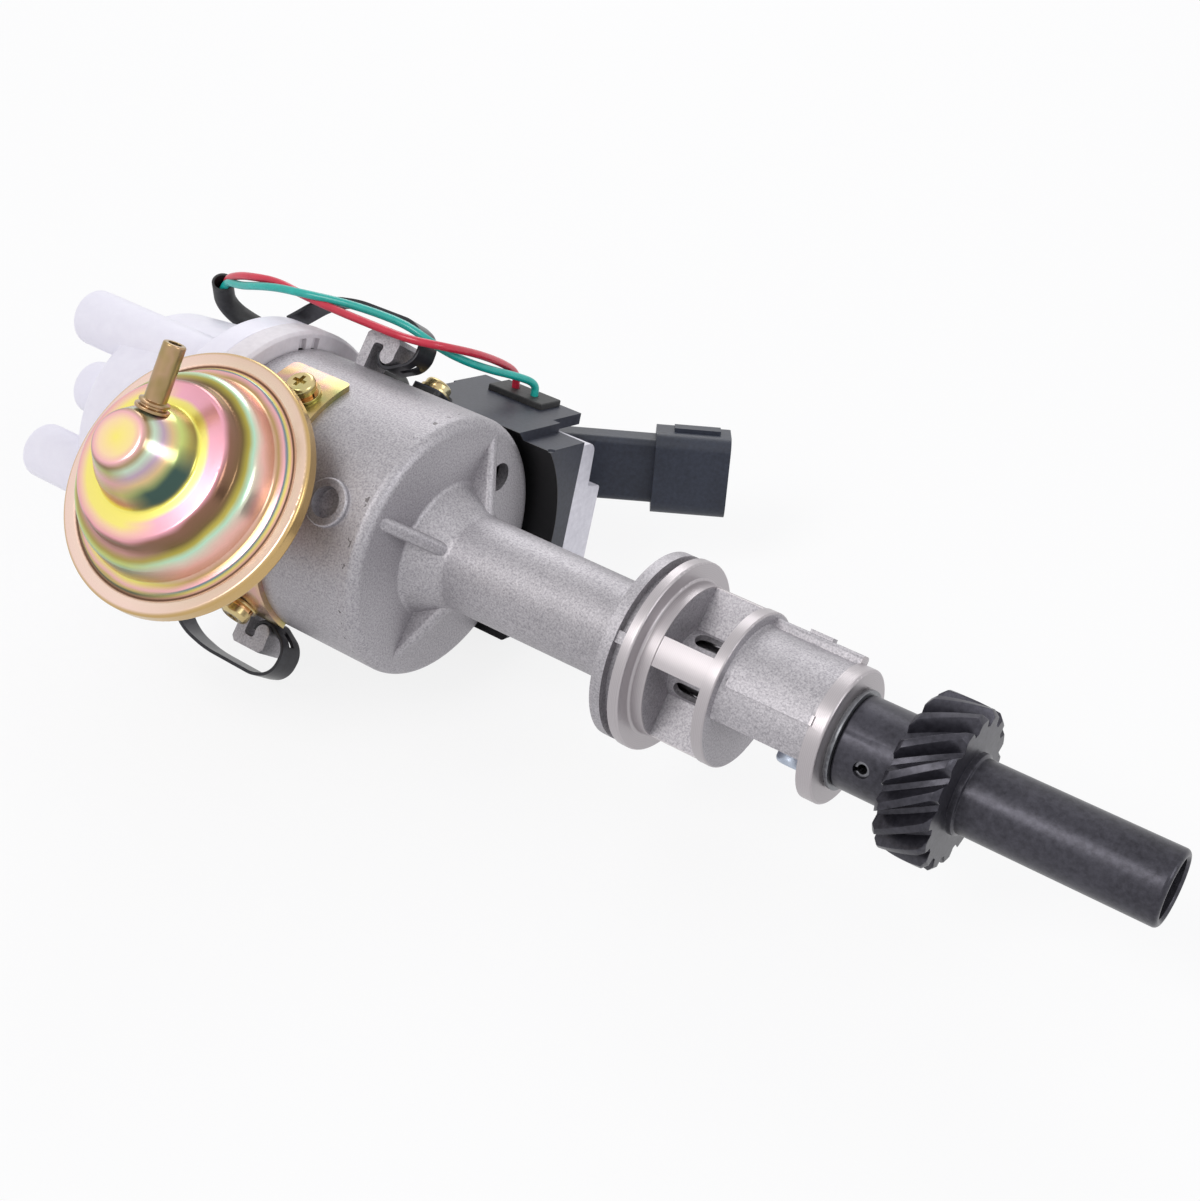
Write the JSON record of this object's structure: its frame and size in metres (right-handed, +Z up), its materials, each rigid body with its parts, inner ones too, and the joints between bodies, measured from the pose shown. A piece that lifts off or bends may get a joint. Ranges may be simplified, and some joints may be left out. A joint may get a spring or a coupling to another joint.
{
  "type": "ignition distributor",
  "caption": "Engine ignition distributor with vacuum canister, clipped cap, side igniter and helical drive gear.",
  "frame": {"origin": "on the shaft axis at the machined seating face of the hold-down flange", "axes": "+X along the shaft axis towards the drive gear, +Z up, -Y towards the viewer"},
  "size_m": [0.3306, 0.1674, 0.1134],
  "materials": {
    "cast_aluminium": "sand-cast, matte, with machined seats",
    "machined_aluminium": "die-cast, smooth, pale",
    "dark_steel": "phosphated, dark blue grey",
    "bright_steel": "ground",
    "spring_steel": "black spring steel",
    "yellow_zinc": "yellow passivated zinc with rainbow bands",
    "brass": "plain",
    "bush_bronze": "sintered bronze",
    "blue_zinc": "blue passivated",
    "cap_plastic": "pale moulded",
    "ring_plastic": "pale grey moulded",
    "black_plastic": "moulded, matte",
    "carbon": "carbon",
    "black_rubber": "matte",
    "magnet": "sintered",
    "red_wire": "insulation",
    "green_wire": "insulation"
  },
  "bodies": {
    "frame": {"housing": "cast_aluminium", "upper_bushing": "bush_bronze", "lower_bushing": "bush_bronze", "gallery_plug": "blue_zinc", "thrust_washer": "dark_steel", "upper_shim": "bright_steel", "base_plate": "yellow_zinc", "base_plate_screws": "yellow_zinc", "plate_circlip": "spring_steel", "cap_seat_ring": "ring_plastic", "distributor_cap": "cap_plastic", "side_electrodes": "brass", "centre_electrode": "brass", "brush_spring": "bright_steel", "canister_bracket": "yellow_zinc", "bracket_flat_washers": "yellow_zinc", "bracket_spring_washers": "yellow_zinc", "bracket_screws": "yellow_zinc", "canister_pan": "yellow_zinc", "canister_cover": "yellow_zinc", "hose_nipple": "yellow_zinc", "diaphragm": "black_rubber", "diaphragm_spring": "bright_steel", "module_carrier": "black_plastic", "grommet_plate": "black_rubber", "heat_sink": "machined_aluminium", "igniter_module": "black_plastic", "connector_housing": "black_plastic", "connector_terminals": "brass", "module_washers": "yellow_zinc", "module_screws": "yellow_zinc", "lead_sleeve": "black_rubber", "lead_grommet": "black_rubber", "red_lead": "red_wire", "green_lead": "green_wire"},
    "shaft": {"drive_shaft": "bright_steel", "drive_gear": "dark_steel", "gear_roll_pin": "dark_steel", "governor_plate": "bright_steel", "governor_springs": "bright_steel"},
    "cam": {"cam_sleeve": "bright_steel", "reluctor": "dark_steel", "rotor_arm": "black_plastic", "rotor_blade": "brass", "sleeve_screw": "bright_steel"},
    "weight_a": {"advance_weight_a": "bright_steel"},
    "weight_b": {"advance_weight_b": "bright_steel"},
    "pickup": {"pickup_plate": "yellow_zinc", "pickup_coil": "black_plastic", "ring_magnet": "magnet", "stator": "bright_steel"},
    "diaphragm_rod": {"pull_rod": "bright_steel", "diaphragm_cup": "bright_steel"},
    "top_clip": {"clip_top": "spring_steel"},
    "bottom_clip": {"clip_bottom": "spring_steel"},
    "brush": {"carbon_brush": "carbon"}
  },
  "joints": [
    {"name": "shaft_spin", "type": "hinge", "parent": "frame", "child": "shaft", "pos_m": [0, 0, 0], "axis": [1, 0, 0], "continuous": true},
    {"name": "advance_swing", "type": "hinge", "parent": "shaft", "child": "cam", "pos_m": [-0.1, 0, 0], "axis": [-1, 0, 0], "range_deg": [0, 10], "deforming": ["governor_springs"]},
    {"name": "weight_a_swing", "type": "hinge", "parent": "shaft", "child": "weight_a", "pos_m": [-0.083, 0.018, 0], "axis": [-1, 0, 0], "range_deg": [0, 15]},
    {"name": "weight_b_swing", "type": "hinge", "parent": "shaft", "child": "weight_b", "pos_m": [-0.083, -0.018, 0], "axis": [-1, 0, 0], "range_deg": [0, 15]},
    {"name": "plate_turn", "type": "hinge", "parent": "frame", "child": "pickup", "pos_m": [-0.1125, 0, 0], "axis": [-1, 0, 0], "range_deg": [0, 10]},
    {"name": "diaphragm_pull", "type": "slide", "parent": "frame", "child": "diaphragm_rod", "axis": [0, -0.5976, 0.8018], "range_m": [0, 0.00318], "deforming": ["diaphragm", "diaphragm_spring"]},
    {"name": "clip_top_swing", "type": "hinge", "parent": "frame", "child": "top_clip", "pos_m": [-0.1098, 0.02799, 0.02899], "axis": [0, 0.7193, -0.6947], "range_deg": [0, 30]},
    {"name": "clip_bottom_swing", "type": "hinge", "parent": "frame", "child": "bottom_clip", "pos_m": [-0.1098, -0.0285, -0.0285], "axis": [0, -0.7071, 0.7071], "range_deg": [0, 30]},
    {"name": "brush_slide", "type": "slide", "parent": "frame", "child": "brush", "axis": [-1, 0, 0], "range_m": [0, 0.002], "deforming": ["brush_spring"]}
  ],
  "couplings": [
    {"joint": "weight_a_swing", "follows": "advance_swing", "ratio": 1.5},
    {"joint": "weight_b_swing", "follows": "advance_swing", "ratio": 1.5},
    {"joint": "diaphragm_pull", "follows": "plate_turn", "m_per_rad": 0.0182}
  ]
}
